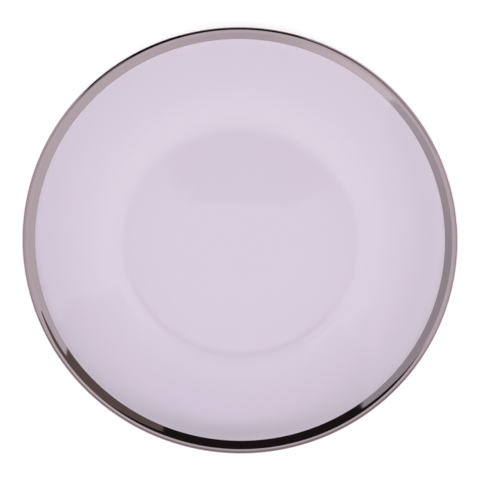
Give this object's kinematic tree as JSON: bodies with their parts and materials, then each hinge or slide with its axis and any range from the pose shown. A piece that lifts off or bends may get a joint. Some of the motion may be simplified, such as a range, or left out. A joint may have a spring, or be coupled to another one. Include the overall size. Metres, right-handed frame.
{
  "type": "charger plate",
  "caption": "Round clear lilac glass charger plate with a flat well, a broad dished rim and a mirror-bright silver band fired over its rounded lip, standing on a low broad foot.",
  "frame": {"origin": "on the plate's axis, level with the flat face of the foot", "axes": "+Z along the plate's axis, out of the well; X and Y are alike on a round plate"},
  "size_m": [0.3299, 0.33, 0.0191],
  "materials": {
    "lilac_glass": "clear pressed glass, faintly lilac, fire-polished",
    "silver_lustre": "mirror-bright fired silver lustre with a mauve cast"
  },
  "bodies": {
    "root": {"glass_plate": "lilac_glass", "silver_band": "silver_lustre"}
  },
  "joints": []
}
